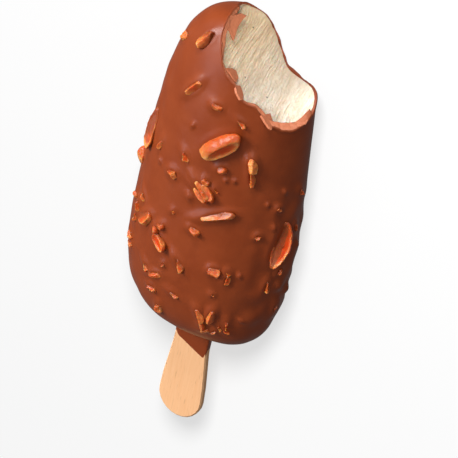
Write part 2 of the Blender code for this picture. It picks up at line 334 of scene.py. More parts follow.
# Smaller pieces that show on the front: place along, angle, length, width, turn and how
# much chocolate covers them, from 0 to 1
SMALL_NUTS = [
    (36.0, 150, 3.3, 2.0, 30, 0.1),
    (6.5, 130, 2.8, 1.3, 12, 0.1),
    (17.4, 104.5, 1.5, 1.0, 44, 1.0),
    (25.2, 89, 2.9, 2.1, 90, 0.1),
    (22.9, 69.5, 2.9, 1.3, 125, 0.1),
    (8.0, 104.5, 2.9, 1.6, 137, 0.1),
    (1.6, 112, 3.2, 2.6, 97, 0.1),
    (9.0, 76.5, 2.7, 2.0, 82, 0.1),
    (2.4, 78.5, 1.4, 0.9, 137, 0.3),
    (7.0, 67.5, 1.3, 1.0, 119, 1.0),
    (6.3, 73.5, 1.2, 1.0, 112, 1.0),
    (-12.8, 150, 2.0, 1.2, 103, 0.1),
    (-10.8, 135.5, 2.5, 0.9, 144, 0.3),
    (-14.5, 140, 2.8, 1.5, 0, 0.1),
    (-18.1, 141, 2.7, 0.9, 0, 0.1),
    (-8.9, 105.5, 1.0, 0.8, 62, 0.3),
    (-2.1, 96, 2.7, 1.9, 150, 0.95),
    (-11.2, 88, 3.4, 2.3, 106, 0.1),
    (-24.6, 146.5, 2.6, 1.4, 126, 0.1),
    (-26.8, 144, 2.2, 0.9, 140, 0.3),
    (-29.3, 120.5, 2.9, 1.2, 139, 0.3),
    (-29.9, 112, 4.3, 1.8, 69, 0.1),
    (-25.4, 105.5, 1.0, 0.9, 90, 0.6),
    (-22.9, 94, 5.0, 2.0, 134, 0.35),
    (-34.7, 114, 3.0, 2.1, 108, 0.1),
    (-32.9, 95, 2.7, 1.2, 108, 0.1),
    (-39.9, 108.5, 3.2, 2.0, 176, 0.1),
    (-20.7, 69.5, 3.3, 2.9, 84, 0.05),
    (-20.0, 60, 1.8, 1.5, 126, 0.1),
    (-22.0, 60, 3.1, 1.6, 0, 0.1),
    (-19.9, 52, 1.6, 1.1, 141, 1.0),
    (-39.7, 59, 1.7, 1.1, 57, 0.2),
    (-37.9, 56, 1.6, 1.0, 145, 0.1),
    (-36.5, 51.5, 2.6, 1.3, 173, 0.1),
    (-38.3, 49, 1.7, 1.0, 102, 0.1),
    (-34.1, 41.5, 2.0, 0.9, 116, 1.0),
    (5.3, 5.5, 2.0, 1.3, 153, 0.3),
    (6.3, 26.5, 1.4, 0.9, 143, 1.0),
    (1.4, 30, 1.3, 1.2, 128, 0.5),
    (-4.0, 32, 1.8, 1.2, 152, 1.0),
    (-7.5, 43.5, 1.6, 1.5, 86, 0.3),
    (-4.8, 6.5, 2.3, 1.2, 156, 0.7),
    (-10.3, -1, 2.5, 1.5, 153, 0.9),
    (-17.8, 17, 2.3, 1.2, 27, 0.3),
    (-22.5, 27.5, 3.6, 1.7, 0, 0.15),
    (-21.8, 16.5, 3.0, 2.5, 32, 1.0),
    (-24.3, -2, 3.0, 1.6, 168, 1.0),
    (-29.8, 9.5, 3.4, 1.5, 171, 0.8),
    (-27.8, 67.5, 0.9, 0.8, 90, 0.5),
    (2.4, 40.5, 1.1, 0.9, 119, 1.0),
    (2.6, 126.5, 1.4, 1.0, 122, 1.0),
]


# The way that the pieces lean, across and along the bar: chocolate runs up that side
LEAN_WAY = np.array([-0.8, 0.6])


def nut_pose(nut):
    """Where a piece lies on the waved coat, and its axes: across it, along it and out."""
    station, angle = nut.along * MM / (BAR_LENGTH / 2), math.radians(nut.angle)
    spot, outward = bar_surface(station, angle), bar_outward(station, angle)
    spine = np.array([0.0, 1.0, 0.0]) - outward * outward[1]
    spine /= np.linalg.norm(spine)
    across = np.cross(spine, outward)
    spot = spot + outward * coat_wave(spot)
    lean = outward + nut.lean * (LEAN_WAY[0] * across + LEAN_WAY[1] * spine)
    lean /= np.linalg.norm(lean)
    spine = spine - lean * (spine @ lean)
    spine /= np.linalg.norm(spine)
    across = np.cross(spine, lean)
    cos, sin = math.cos(math.radians(nut.turn)), math.sin(math.radians(nut.turn))
    return spot, np.array([across * cos - spine * sin, spine * cos + across * sin, lean])


def upward(nut, across, along):
    """How far a place on a piece lies to the side that chocolate runs up, from its place
    across and along the piece, each as a share of its half size."""
    cos, sin = math.cos(math.radians(nut.turn)), math.sin(math.radians(nut.turn))
    way = np.array([LEAN_WAY[0] * cos - LEAN_WAY[1] * sin, LEAN_WAY[1] * cos + LEAN_WAY[0] * sin])
    reach = np.hypot(way[0] * nut.width, way[1] * nut.length)
    return (across * way[0] * nut.width + along * way[1] * nut.length) / reach


def chopped_nut(nut, seed, rows, columns):
    """A chopped nut about its own middle: a ball cut by planes, with rounded edges. In each
    direction the distance is the power mean of those to the ball and to the planes, so each
    has a share of it. Hollows push in where one cut has the whole share. Then the ball is
    stretched to its size, bent and roughened. Also gives how pale it is, with painted highlight
    along edges and at the near end, how far into a hollow, for painted shade there, and how
    coated it is."""
    polar = np.linspace(0, math.pi, rows)[:, None]
    round_ = np.linspace(0, 2 * math.pi, columns + 1)[None, :]
    way = np.stack([np.sin(polar) * np.cos(round_), np.cos(polar) + 0 * round_,
                    np.sin(polar) * np.sin(round_)], axis=-1)
    normals = np.array([cut[0] for cut in nut.cuts])
    normals /= np.linalg.norm(normals, axis=-1, keepdims=True)
    depths, hollows, pales = (np.array([cut[k] for cut in nut.cuts]) for k in (1, 2, 3))
    terms = (np.maximum(way @ normals.T, 0.0) / depths) ** nut.sharp
    total = terms.sum(axis=-1) + 1
    shares = terms / total[..., None]
    edge = np.clip(2 * (1 - np.maximum(shares.max(axis=-1), 1 / total)), 0, 1)
    points = way * (total ** (-1 / nut.sharp))[..., None]
    unit = points.copy()
    points[..., 0] += nut.bend * 2 * (1 - points[..., 1] ** 2)
    points = points * np.array([nut.width, nut.length, nut.height]) / 2 * MM
    fading = ease(1.6 * shares - 0.6) * (1 - 0.5 * unit[..., 1:2] ** 2)
    points -= (fading * hollows) @ normals * MM
    grain = 0.12 * space_noise(points, 0.9 * MM, seed)
    grain += 0.05 * space_noise(points, 0.4 * MM, seed + 1)
    climb, tilt_x, tilt_y = nut.film
    line = 2 * nut.sink / nut.height - 1 + climb + tilt_x * unit[..., 0] + tilt_y * unit[..., 1]
    ragged = 0.25 * space_noise(points, 1.1 * MM, seed + 2)
    upside = upward(nut, unit[..., 0], unit[..., 1])
    film = ease((line + ragged + nut.drape * upside - unit[..., 2]) / 0.7 + 0.5)
    points += way * ((grain + 0.10 * film) * MM)[..., None]
    # Paleness: the pale cut faces, the near end, partly painted highlight, and a painted highlight along
    # the edges away from the side that chocolate runs up.
    pale = (shares @ pales + nut.tip * ease(0.2 - 1.2 * unit[..., 1])) * (1 - film)
    pale = np.clip(pale + nut.rim * edge * ease(0.45 - 0.9 * upside) * (1 - 0.85 * film), 0, 1)
    # How far into a cut's hollow, where the finish paints shade.
    hollow_shade = np.clip(fading @ np.minimum(hollows / 0.5, 1), 0, 1)
    return points, {"pale": pale, "hollow_shade": hollow_shade, "film": film}


def random_cuts(rng):
    """Cuts of a small piece: two for its roof and one at each side and end, all askew."""
    roof, sides = [(0.75, 0, 0.7), (-0.75, 0, 0.7)], [(1, 0, 0), (-1, 0, 0)]
    normals = np.array(roof + sides + [(0, 1, 0.2), (0, -1, 0.2)])
    normals = normals + rng.normal(size=normals.shape) * 0.28
    distances = rng.uniform((0.40, 0.40, 0.65, 0.65, 0.70, 0.70), (0.75, 0.75, 1, 1, 1, 1))
    hollows = rng.uniform(0, 0.25, 6)
    pales = rng.choice([0.0, 0.0, 0.1, 0.3], 6)
    return tuple(zip(normals, distances, hollows, pales))


# From in front and to the right, pieces are only where the list has them
FRONT = np.array([0.345, 0.528, 0.776])

# Scattered pieces: how far they keep from others and from the bite, and how low they may be
NUT_SPACING = 5 * MM
NUT_TO_BITE = 4 * MM
LOWEST_NUT = -9.5 * MM

# Share of a larger piece that chocolate covers, and share from which only a mound shows
BIG_COVERED = 0.15
BURIED = 0.85

# Rows and columns of points on each slice of the larger pieces, and on the smaller ones
BIG_GRID = (44, 60)
SMALL_GRID = (22, 30)


def scattered_nuts():
    """Pieces on the sides and back that the list leaves open: dealt at random, well apart,
    and none so low that it would lift the bar."""
    rng = np.random.default_rng(8)
    listed = [(n.along, n.angle) for slices in BIG_NUTS.values() for n in slices[:1]]
    listed += [row[:2] for row in SMALL_NUTS]
    spots = [bar_surface(y * MM / (BAR_LENGTH / 2), math.radians(a)) for y, a in listed]
    found = []
    for _ in range(1500):
        along, angle = rng.uniform(-42, 40), rng.uniform(155, 375)
        length, width = rng.uniform(1.4, 4.6), rng.uniform(0.5, 0.9)
        place = along * MM / (BAR_LENGTH / 2), math.radians(angle)
        spot = bar_surface(*place)
        turn, reach = turn_and_reach(spot)
        clear = min(np.linalg.norm(spot - other) for other in spots) > NUT_SPACING
        hidden = bar_outward(*place) @ FRONT < -0.4
        if clear and hidden and reach > BITE_RADIUS + NUT_TO_BITE and spot[2] > LOWEST_NUT:
            spots.append(spot)
            covered = rng.choice([0.1, 0.2, 0.3, 0.7, 1.0])
            found.append((along, angle, length, length * width, rng.uniform(0, 180), covered))
    return found


def small_nuts():
    """The listed and scattered pieces as nuts, and how much chocolate covers each."""
    nuts = []
    for number, row in enumerate(SMALL_NUTS + scattered_nuts()):
        along, angle, length, width, turn, covered = row
        rng = np.random.default_rng(500 + number)
        height = 0.85 * min(width, 2.2) + 1.2
        film = (1.5 * covered + 0.1, *rng.uniform(-0.3, 0.3, 2))
        nuts.append((Nut(along, angle, 1.1 * length, 1.15 * width, height, turn, random_cuts(rng),
                         rng.uniform(0.2, 0.6), film, sink=0.42 * height, sharp=10, drape=1.1),
                     covered))
    return nuts


def raised_by_nuts(points, nuts):
    """Height that the nuts give the coat: a shoulder against the sides of a bare piece, high
    and wide on the side that chocolate runs up, and a soft mound over a covered one."""
    raised = np.zeros(points.shape[:-1])
    for nut, covered in nuts:
        spot, axes = nut_pose(nut)
        near = np.linalg.norm(points - spot, axis=-1) < (nut.length / 2 + 5) * MM
        local = (points[near] - spot) @ axes.T / MM
        across, along = local[:, 0] / (nut.width / 2), local[:, 1] / (nut.length / 2)
        span = np.hypot(across, along)
        gap = np.maximum(span - 1, 0) * min(nut.width, nut.length) / 2
        if covered < BURIED:
            side = ease(0.5 + 0.5 * upward(nut, across, along) / np.maximum(span, 0.4))
            climb = np.clip(0.06 + 0.22 * side + 0.25 * covered, 0.0, 0.6) * ease(span / 0.9)
            bump = (nut.height - nut.sink) * climb * np.exp(-((gap / (0.6 + 0.4 * side)) ** 2))
            bump *= nut.mound
        else:
            bump = 0.5 * (nut.height - nut.sink) * np.exp(-0.9 * span**2)
        raised[near] = np.maximum(raised[near], bump * MM)
    return raised


def build_nuts(middle):
    """The larger pieces, one object for each solid, and the smaller ones joined."""

    def join(name, nuts, seed, grid):
        patches, marks = [], []
        for number, nut in enumerate(nuts):
            points, mark = chopped_nut(nut, seed + 10 * number, *grid)
            spot, axes = nut_pose(nut)
            lift = np.array([0, 0, (nut.height / 2 - nut.sink) * MM])
            patches.append((points + lift) @ axes + spot + np.array([0, 0, middle]))
            marks.append(mark)
        return mesh_from(name, patches, {key: [mark[key] for mark in marks] for key in marks[0]})

    made = {}
    for number, (name, slices) in enumerate(BIG_NUTS.items()):
        made[name] = join(name + "_nut", slices, 200 + 50 * number, BIG_GRID)
    bare = [nut for nut, covered in small_nuts() if covered < BURIED]
    made["bits"] = join("almond_bits", bare, 2000, SMALL_GRID)
    return made


# Chocolate coat

COAT_COLUMNS = 440
COAT_ROWS = 180

# Band along the broken edge that has closer rows
EDGE_BAND = 1.2 * MM

# The skin over the broken edge: how far it lies over it and reaches under it, in mm
SKIN_OUT = 0.03
SKIN_IN = 0.25

# How far the inner edge of the broken coat stands over the bite past the outer one, in mm,
# at turns round the bite in degrees
FRONT_TURNS = (188, 203, 210, 232, 240, 248, 254, 263, 270, 277)
FRONT_SLANTS = (0.10, 0.10, -0.40, -0.40, 0.10, 0.10, 0.60, 0.60, 1.10, 0.40)
BACK_SLANT = -0.1


def coat_angles():
    """Angles round the bar at even steps along its section, closer on the front."""
    fine = np.linspace(0, 2 * math.pi, 4001)
    speed = np.hypot(BAR_WIDTH * np.sin(fine), BAR_THICKNESS * np.cos(fine))
    speed *= np.where(fine < math.pi, 2.0, 1.0)
    total = np.concatenate([[0.0], np.cumsum((speed[1:] + speed[:-1]) / 2)])
    return np.interp(np.linspace(0, total[-1], COAT_COLUMNS + 1), total, fine)


def coat_wave(points):
    """Unevenness of dipped chocolate: slow waves that run down the bar, with smaller ones
    on them, a waist and a fuller corner on its right side, and lumps on both sides."""
    slow = space_noise(points, (9 * MM, 22 * MM, 9 * MM), 3)
    small = space_noise(points, (4 * MM, 7 * MM, 4 * MM), 5)
    lumps = space_noise(points, (3.2 * MM, 4.2 * MM, 3.2 * MM), 7)
    right, along = ease((points[..., 0] / MM - 11) / 8), points[..., 1] / MM
    side = right * ease((14 - along) / 16)
    waist = 0.45 * np.exp(-(((along - 16) / 12) ** 2)) - 0.40 * np.exp(-(((along - 31) / 3.5) ** 2))
    corner = ease((points[..., 0] / MM - 6) / 10) * ease((-34 - along) / 8)
    smooth = 0.26 * slow + 0.09 * small - right * waist + 0.9 * corner - 0.05
    left = ease((-12 - points[..., 0] / MM) / 7)
    return MM * (smooth + (0.42 * side + 0.24 * left) * lumps)


def coat_edge(turn, height):
    """How far the coat's broken edge stands over the bite: a finely chipped line."""
    place = np.stack([turn * 0.45 * MM, height, 0 * turn], axis=-1)
    chips = space_noise(place, 2.2 * MM, 11) * 0.22 + space_noise(place, 0.9 * MM, 12) * 0.10
    corner = 0.55 * np.exp(-(((turn - 236) / 5) ** 2))
    return MM * (np.where(height > 0, 0.45, 0.05 + corner) + chips)


def inner_coat_edge(turn, height):
    """The same for its inner edge: chipped otherwise, and slanting out over the bite."""
    place = np.stack([turn * 0.45 * MM, height, 0 * turn], axis=-1)
    chips = space_noise(place, 1.8 * MM, 13) * 0.18
    slant = np.where(height > 0, np.interp(turn, FRONT_TURNS, FRONT_SLANTS), BACK_SLANT)
    return coat_edge(turn, height) + MM * (slant + chips)


def deeper(behind):
    """How much deeper the hidden inside lies at a distance behind the bite's edge."""
    return INSIDE_DEPTH * ease(behind / INSIDE_FROM)


def stick_lip(points):
    """Chocolate drawn up a little where the stick goes in: it falls off with distance from
    the stick's section."""
    over_x = np.maximum(np.abs(points[..., 0] - STICK_SHIFT) - STICK_HALF_WIDTH, 0)
    over_z = np.maximum(np.abs(points[..., 2]) - STICK_HALF_THICKNESS, 0)
    close = np.exp(-np.hypot(over_x, over_z) / (1.3 * MM))
    return np.where(points[..., 1] < -0.45 * BAR_LENGTH, 0.9 * MM * close, 0.0)


def build_coat(middle):
    """The chocolate: lines from the stick end to the bite over the outline, raised by waves
    and nuts, then its broken edge, then back along the inside. Also a thin skin over the
    broken edge, which light finds from the side of the bite."""
    angle = coat_angles()
    edge = rim_distance(angle, 0.0, coat_edge)
    close = np.linspace(EDGE_BAND, 0, 13)[:, None] + 0 * edge
    far = EDGE_BAND + np.linspace(1, 0, COAT_ROWS)[:-1, None] * (edge - EDGE_BAND)
    to_edge = np.concatenate([far, close])
    station = np.interp(edge - to_edge, DISTANCES, STATIONS)
    smooth = bar_surface(station, angle)
    outward = bar_outward(station, angle)
    outward[0] = (0, -1, 0)
    big = [(nut, BIG_COVERED) for slices in BIG_NUTS.values() for nut in slices]
    raised = coat_wave(smooth) + raised_by_nuts(smooth, big + small_nuts()) + stick_lip(smooth)
    near_edge = to_edge / MM
    raised += 0.12 * MM * np.exp(-((near_edge - 0.5) / 0.4) ** 2)
    raised -= 0.18 * MM * np.exp(-near_edge / 0.25)
    outer = smooth + outward * raised[..., None]

    front = ease(0.5 + 1.5 * np.sin(angle))
    thickness = COAT_BACK + (COAT_FRONT - COAT_BACK) * front
    inner_edge = rim_distance(angle, thickness, inner_coat_edge)
    behind = np.linspace(0, 1, 30)[:, None] ** 2 * inner_edge
    inner_station = np.interp(inner_edge - behind, DISTANCES, STATIONS)
    inner = bar_surface(inner_station, angle, thickness + deeper(behind))

    across = np.linspace(0, 1, 9)[:, None, None]
    broken = outer[-1] * (1 - across) + inner[0] * across
    rough = 0.12 * MM * space_noise(broken, 0.8 * MM, 15) * np.sin(math.pi * across[..., 0])
    broken[..., 0] += rough
    broken[..., 1] += rough
    patches = [outer, broken, inner]
    for patch in patches:
        patch[..., 2] = np.maximum(patch[..., 2] + middle, 0.0)
    to_bite = np.array([*BITE_CENTRE, 0.0]) - broken * (1, 1, 0)
    to_bite *= MM / np.linalg.norm(to_bite, axis=-1, keepdims=True)
    # The paler broken colour on the outer skin's last rows by the edge is a painted highlight along the
    # rim.
    bare = [np.exp(-near_edge / 0.16), np.ones(broken.shape[:2]), np.ones(inner.shape[:2])]
    # Less of the paler broken colour towards the back: painted shade on the back of the broken edge.
    bare = [share * (0.1 + 0.9 * front) for share in bare]
    skin = [broken + depth * to_bite for depth in np.linspace(SKIN_OUT, -SKIN_IN, 4)]
    faces = [skin[0], skin[-1], *(np.stack([layer[row] for layer in skin]) for row in (0, -1))]
    # On the skin too the paler broken colour fades towards the back: painted shade.
    marks = [front + 0 * face[..., 0] for face in faces]
    coat = mesh_from("coat", patches, {"broken": bare})
    return coat, mesh_from("broken_edge", faces, {"broken": marks})


# Ice cream

CREAM_COLUMNS = 400
CREAM_ROWS = 150
CREAM_TURNS = (180, 290)
CREAM_BACK = 0.25 * MM


def cream_relief(turn, height):
    """Marks of the teeth in the ice cream: wavy ridges that run from front to back, slanting
    to the tip and less so to the side, with finer streaks on them, grain, and lumps at the
    side."""
    slope = 0.50 - 0.22 * ease((turn - 195) / 45)
    place = np.stack([np.radians(turn) * BITE_RADIUS, height, 0 * turn], axis=-1)
    wander = 0.22 * space_noise(place, 3.6 * MM, 20) + 0.08 * space_noise(place, 1.3 * MM, 19)
    place[..., 0] += wander * MM - slope * height
    broad = space_noise(place, (1.7 * MM, 15 * MM, MM), 21)
    ridge = space_noise(place, (0.75 * MM, 5.5 * MM, MM), 22)
    streak = space_noise(place, (0.38 * MM, 2.4 * MM, MM), 23)
    grain = space_noise(place, (0.30 * MM, 0.5 * MM, MM), 24)
    lumps = space_noise(place, (1.2 * MM, 1.6 * MM, MM), 25) * ease((turn - 235) / 30)
    sharp = 0.5 - np.abs(ridge)
    return 0.10 * broad + 0.14 * sharp + 0.08 * streak + 0.05 * grain + 0.10 * lumps


def bite_point(turn, height, relief=0.0):
    """Place on the ice cream in the bite, which lies back a little from the bite's surface."""
    reach = bite_radius(turn, height) + CREAM_BACK + relief
    x = BITE_CENTRE[0] + reach * np.cos(np.radians(turn))
    y = BITE_CENTRE[1] + reach * np.sin(np.radians(turn))
    return np.stack([x, y, height + 0 * turn], axis=-1)


def cream_inset(height):
    """Depth of the ice cream's skin under the bar's outline: less at the back."""
    front = ease(0.5 + height / (8 * MM))
    return CREAM_UNDER_BACK + (CREAM_UNDER_FRONT - CREAM_UNDER_BACK) * front


def outside_bar(points):
    """Above 0 where points lie outside the ice cream's skin, and its station and angle."""
    inset = cream_inset(points[..., 2])
    station = points[..., 1] / (BAR_LENGTH / 2 - inset)
    width = (BAR_WIDTH / 2 * (1 - TAPER * station) - inset) * fullness(station, PLAN_POWER)
    height = (BAR_THICKNESS / 2 - inset) * fullness(station, SIDE_POWER)
    x, z = points[..., 0] / np.maximum(width, 1e-9), points[..., 2] / np.maximum(height, 1e-9)
    return x * x + z * z - 1, station, np.arctan2(z, x)


def bite_height(turn, side):
    """Height at which the bite's surface leaves the ice cream, found by halving."""
    low, high = np.zeros_like(turn), np.full_like(turn, side * BAR_THICKNESS / 2)
    for _ in range(40):
        half = (low + high) / 2
        inside = outside_bar(bite_point(turn, half))[0] < 0
        low, high = np.where(inside, half, low), np.where(inside, high, half)
    return low


def build_cream(middle):
    """The ice cream: the bite's surface with its marks, then the body under the coat."""
    fine = np.linspace(*CREAM_TURNS, 8001)
    inside = outside_bar(bite_point(fine, 0.0 * fine))[0] < 0
    first, last = fine[inside][0], fine[inside][-1]
    spread = np.linspace(0, 1, CREAM_COLUMNS)
    spread = 0.8 * spread + 0.2 * (1 - np.cos(math.pi * spread)) / 2
    turn = first + (last - first) * spread
    top, bottom = bite_height(turn, 1), bite_height(turn, -1)
    level = np.linspace(0, 1, CREAM_ROWS)[:, None]
    height = bottom + (top - bottom) * level
    edge = ease(8 * np.minimum(level, 1 - level))
    turns = np.broadcast_to(turn, height.shape)
    relief = cream_relief(turns, height)
    face = bite_point(turns, height, MM * relief * edge)

    loop = np.concatenate([face[-1], face[0, ::-1]])
    _, station, angle = outside_bar(loop)
    distance = np.interp(station, STATIONS, DISTANCES)
    behind = np.linspace(0, 1, 40)[:, None] ** 2 * distance
    stations = np.interp(distance - behind, DISTANCES, STATIONS)
    body = bar_surface(stations, angle, cream_inset(loop[:, 2]) + deeper(behind))
    body[0] = loop
    for patch in (face, body):
        patch[..., 2] += middle
    body = np.concatenate([body, body[:, :1]], axis=1)
    plain = np.zeros(body.shape[:2])
    # Darker cream in the troughs of the tooth marks is painted shade.
    trough_shade, side = ease(0.5 + 2.2 * relief), ease((turns - 195) / 60)
    # The side mark makes the cream whiter away from the tip: painted light.
    return mesh_from("cream", [face, body], {"trough_shade": [trough_shade, plain + 0.5], "side": [side, plain]})


# Broken pieces of the coat, pressed in over the ice cream

# Corners of each piece: turn round the bite in degrees, height and how far it stands off
# the ice cream, in mm
FLAKES = {
    "flake_tip": [(189.6, 1.0, 1.6), (189.0, 4.0, 0.9), (190.3, 6.6, 0.3), (192.5, 6.8, 0.2),
                  (198.1, 5.4, 0.3), (202.1, 5.0, 0.5), (199.0, 4.0, 0.9), (195.7, 2.9, 1.2),
                  (192.7, 0.7, 1.6), (191.6, -0.7, 2.0)],
    "flake_round": [(212.9, 10.6, 0.5), (214.8, 8.5, 0.5), (217.0, 7.7, 0.6), (219.5, 8.3, 0.6),
                    (221.1, 8.8, 0.6), (222.0, 10.3, 0.6), (221.2, 10.9, 0.7), (217.3, 10.6, 0.6)],
    "flake_long": [(223.1, 11.5, 0.6), (225.0, 9.5, 0.5), (227.4, 9.6, 0.6), (230.7, 10.1, 0.6),
                   (232.3, 11.4, 0.6), (231.3, 12.3, 0.7), (226.8, 12.5, 0.6)],
    "flake_wedge": [(245.2, 10.4, 0.6), (245.6, 9.3, 0.6), (247.1, 6.9, 0.6), (249.3, 7.3, 0.6),
                    (251.4, 7.8, 0.6), (254.1, 9.7, 0.7), (252.8, 10.2, 0.7), (248.8, 10.4, 0.6)],
    "flake_side": [(261.2, 4.9, 0.8), (261.6, 3.0, 0.7), (263.6, 1.6, 0.7), (265.5, 1.7, 0.7),
                   (265.8, 2.8, 0.8), (264.3, 4.0, 0.8)],
}
FLAKE_THICKNESS = 0.6 * MM


def build_flake(name, corners, seed, middle):
    """A chip of coat: a flat plate whose outline runs straight from corner to corner, a
    little ragged, on the plane that fits the corners best, with rough faces."""
    turn, height, off = np.array(corners, float).T
    corners = bite_point(turn, height * MM, -MM * off)
    centre = corners.mean(axis=0)
    normal = np.linalg.svd(corners - centre)[2][2]
    normal *= np.sign(normal @ FRONT)
    corners = corners - ((corners - centre) @ normal)[:, None] * normal
    count = len(corners)
    share = np.linspace(0, count, 14 * count + 1)
    places = np.arange(count + 1)
    closed = np.concatenate([corners, corners[:1]])
    outline = np.stack([np.interp(share, places, closed[:, k]) for k in range(3)], axis=-1)
    inward = centre - outline
    inward /= np.linalg.norm(inward, axis=-1, keepdims=True)
    outline += inward * (0.07 * MM * space_noise(outline, 0.6 * MM, seed))[:, None]

    def face(spread, depth):
        spread, depth = np.reshape(spread, (-1, 1, 1)), np.reshape(depth, (-1, 1, 1))
        return centre + (outline - centre) * spread - normal * depth

    front = face(np.linspace(0, 0.98, 14), np.zeros(14))
    front -= normal * (0.06 * MM * space_noise(front, 0.8 * MM, seed + 40))[..., None]
    side = face(np.array([0.98, 1.0, 1.0, 0.99, 0.96]), FLAKE_THICKNESS * np.array([0, 0.06, 0.4, 0.8, 1]))
    side[0] = front[-1]
    side[1:4] += inward * (0.05 * MM * space_noise(side[1:4], 0.5 * MM, seed + 80))[..., None]
    back = face(np.linspace(0.96, 0, 6), np.full(6, FLAKE_THICKNESS))
    patches = [front, side, back]
    for patch in patches:
        patch[..., 2] += middle
    return mesh_from(name, patches, {"broken": [np.ones(patch.shape[:2]) for patch in patches]})


# Painted shadow on the stick: chocolate put where the bar's shadow falls on it

# How far it reaches past the bar's end at the stick's left edge, how much more for each mm
# to the right, how far it starts inside the bar, how thick it is there, and how square its
# section is (0 for a box, 1 for an ellipse)
SHADOW_SLEEVE_REACH = 4.275
SHADOW_SLEEVE_SLANT = 0.5
SHADOW_SLEEVE_INSIDE = 3 * MM
SHADOW_SLEEVE_THICKNESS = 0.32 * MM
SHADOW_SLEEVE_SINK = 0.04 * MM
SHADOW_SLEEVE_SQUARENESS = 0.22


def build_stick_shadow_sleeve(middle, low, high):
    """Sleeve of chocolate on the top of the stick by the bar, a painted shadow where the bar's
    shadow falls: loops round the stick's section, whose ends follow a slanting line and thin
    out there."""
    half_width, half_height = STICK_HALF_WIDTH + 0.05 * MM, (high[2] - low[2]) / 2
    round_ = np.linspace(0, 2 * math.pi, 97)
    cos, sin = np.cos(round_), np.sin(round_)
    across = np.sign(cos) * np.abs(cos) ** SHADOW_SLEEVE_SQUARENESS
    up = np.sign(sin) * np.abs(sin) ** SHADOW_SLEEVE_SQUARENESS
    reach = SHADOW_SLEEVE_REACH + (across + 1) * half_width / MM * SHADOW_SLEEVE_SLANT
    reach += 0.25 * np.sin(across * 7) + np.where(up < 0, -1.0 * np.abs(up), 0)
    share = np.linspace(0, 1, 40)[:, None]
    start_along = -BAR_LENGTH / 2 + SHADOW_SLEEVE_INSIDE
    along = start_along - share * (reach * MM + SHADOW_SLEEVE_INSIDE)
    skin = SHADOW_SLEEVE_THICKNESS * np.sqrt(np.clip(1 - share, 0, 1)) - SHADOW_SLEEVE_SINK
    sides = (STICK_SHIFT + across * (half_width + skin), along + 0 * skin, up * (half_height + skin))
    outer = np.stack(sides, axis=-1)
    core = (STICK_SHIFT + 0.8 * across * half_width, 0 * across + start_along, 0.5 * up * half_height)
    inner_share = np.linspace(0, 1, 3)[:, None, None]
    inner = outer[-1] * (1 - inner_share) + inner_share * np.stack(core, axis=-1)
    start = outer[0] * (1 - inner_share) + inner_share * inner[-1]
    patches = [start[::-1], outer, inner]
    for patch in patches:
        patch[..., 2] += middle
    return mesh_from("chocolate_run", patches)


# Camera and light


# Camera: its right and up, how far the bar's middle lies off its axis to the right and up,
# its distance, in mm, and its lens in mm on a film of 36 mm
CAMERA_RIGHT = Vector((0.8511, 0.1721, -0.4959))
CAMERA_UP = Vector((-0.3956, 0.8313, -0.3905))
CAMERA_SHIFT = (1.13, -14.09)
CAMERA_DISTANCE = 680
CAMERA_LENS = 209.2

# Lamps that light the bar, or one thing alone: direction to each, size in metres, power and
# colour. All stand as far off.
LAMP_DISTANCE = 0.9
LAMPS = {
    "window": ((-0.67, 0.40, 0.63), 0.45, 9.0, (1, 1, 1)),
    "far_window": ((-0.117, 0.954, 0.276), 0.35, 5.0, (1, 1, 1)),
    "skylight": ((-0.58, -0.17, 0.80), 0.25, 0.9, (0.75, 0.84, 1.0)),
    "side_window": ((0.22, 0.40, 0.88), 0.6, 1.8, (1, 1, 1)),
    "floor_lamp": ((0.186, 0.724, 0.713), 0.28, 11.2, (1, 1, 1)),
    "bite_lamp": ((0.66, -0.05, 0.75), 0.4, 3.8, (1, 1, 1)),
    "flake_lamp": ((0.60, 0.0, 0.80), 0.4, 5.5, (1, 1, 1)),
}
BAR_LAMPS = ("window", "far_window", "skylight", "side_window")


def set_stage(middle):
    """White floor, camera and lamps."""
    floor = white_floor()

    data = bpy.data.cameras.new("camera")
    camera = bpy.data.objects.new("camera", data)
    bpy.context.collection.objects.link(camera)
    back = CAMERA_RIGHT.cross(CAMERA_UP)
    turn = Matrix((CAMERA_RIGHT, CAMERA_UP, back)).transposed().to_4x4()
    right, up = CAMERA_SHIFT
    place = MM * (right * CAMERA_RIGHT + up * CAMERA_UP + CAMERA_DISTANCE * back)
    camera.matrix_world = Matrix.Translation(Vector((0, 0, middle)) + place) @ turn
    data.lens = CAMERA_LENS
    data.sensor_width = 36.0
    data.clip_start = 0.01
    bpy.context.scene.camera = camera

    for name, (direction, size, power, colour) in LAMPS.items():
        data = bpy.data.lights.new(name, "AREA")
        data.shape = "DISK"
        data.size = size
        data.energy = power
        data.color = colour
        lamp = bpy.data.objects.new(name, data)
        away = Vector(direction).normalized()
        lamp.location = Vector((0, 0, middle)) + away * LAMP_DISTANCE
        lamp.rotation_euler = away.to_track_quat("Z", "Y").to_euler()
        bpy.context.collection.objects.link(lamp)
    for name in BAR_LAMPS:
        light_link(name, "EXCLUDE", [floor])
    light_link("floor_lamp", "INCLUDE", [floor])


